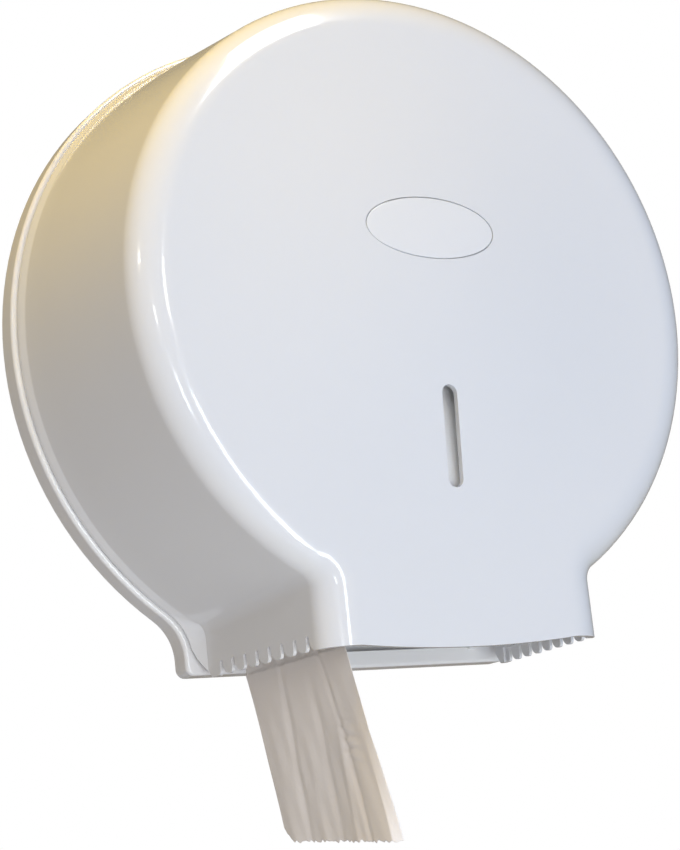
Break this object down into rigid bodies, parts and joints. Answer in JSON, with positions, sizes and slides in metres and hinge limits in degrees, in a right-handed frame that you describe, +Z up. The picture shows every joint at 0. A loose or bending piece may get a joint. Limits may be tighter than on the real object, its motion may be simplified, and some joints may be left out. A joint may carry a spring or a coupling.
{
  "type": "jumbo toilet roll dispenser",
  "caption": "Wall dispenser for a jumbo toilet roll: round back plate with a neck, hinged front cover with a sight slot and tear teeth, spindle, key lock.",
  "frame": {"origin": "roll axis where it meets the wall plane", "axes": "+X right seen from the front, +Y into the wall, +Z up; the front faces -Y"},
  "size_m": [0.31, 0.123, 0.385],
  "materials": {
    "cover_plastic": "high gloss white, moulded",
    "plate_plastic": "satin gloss white, moulded",
    "badge_plastic": "high gloss white, bare",
    "grey_plastic": "fine matt, moulded",
    "paper": "soft crepe tissue",
    "cardboard": "plain wound board",
    "steel": "zinc plated",
    "lock_metal": "bright plated"
  },
  "bodies": {
    "plate": {"back_plate": "plate_plastic", "spindle": "plate_plastic", "spindle_screws": "steel", "spindle_cap": "plate_plastic", "cap_screw": "steel", "hinge_pin_left": "steel", "hinge_pin_right": "steel", "lock_strike": "steel", "strike_screws": "steel", "paper_tail": "paper"},
    "cover": {"front_cover": "cover_plastic", "badge_plate": "badge_plastic", "lock_barrel": "lock_metal", "lock_nut": "lock_metal"},
    "lock": {"lock_plug": "lock_metal", "lock_cam": "steel", "cam_washer": "steel", "cam_screw": "steel"},
    "roll": {"core_adapter": "grey_plastic", "paper_core": "cardboard", "paper_roll": "paper"}
  },
  "joints": [
    {"name": "cover_hinge", "type": "hinge", "parent": "plate", "child": "cover", "pos_m": [0, -0.0415, -0.131], "axis": [1, 0, 0], "range_deg": [0, 90], "deforming": ["paper_tail"]},
    {"name": "lock_turn", "type": "hinge", "parent": "cover", "child": "lock", "pos_m": [0, -0.03, 0.14], "axis": [0, 0, -1], "range_deg": [0, 90]},
    {"name": "roll_spin", "type": "hinge", "parent": "plate", "child": "roll", "pos_m": [0, -0.06, 0], "axis": [0, -1, 0], "continuous": true}
  ]
}
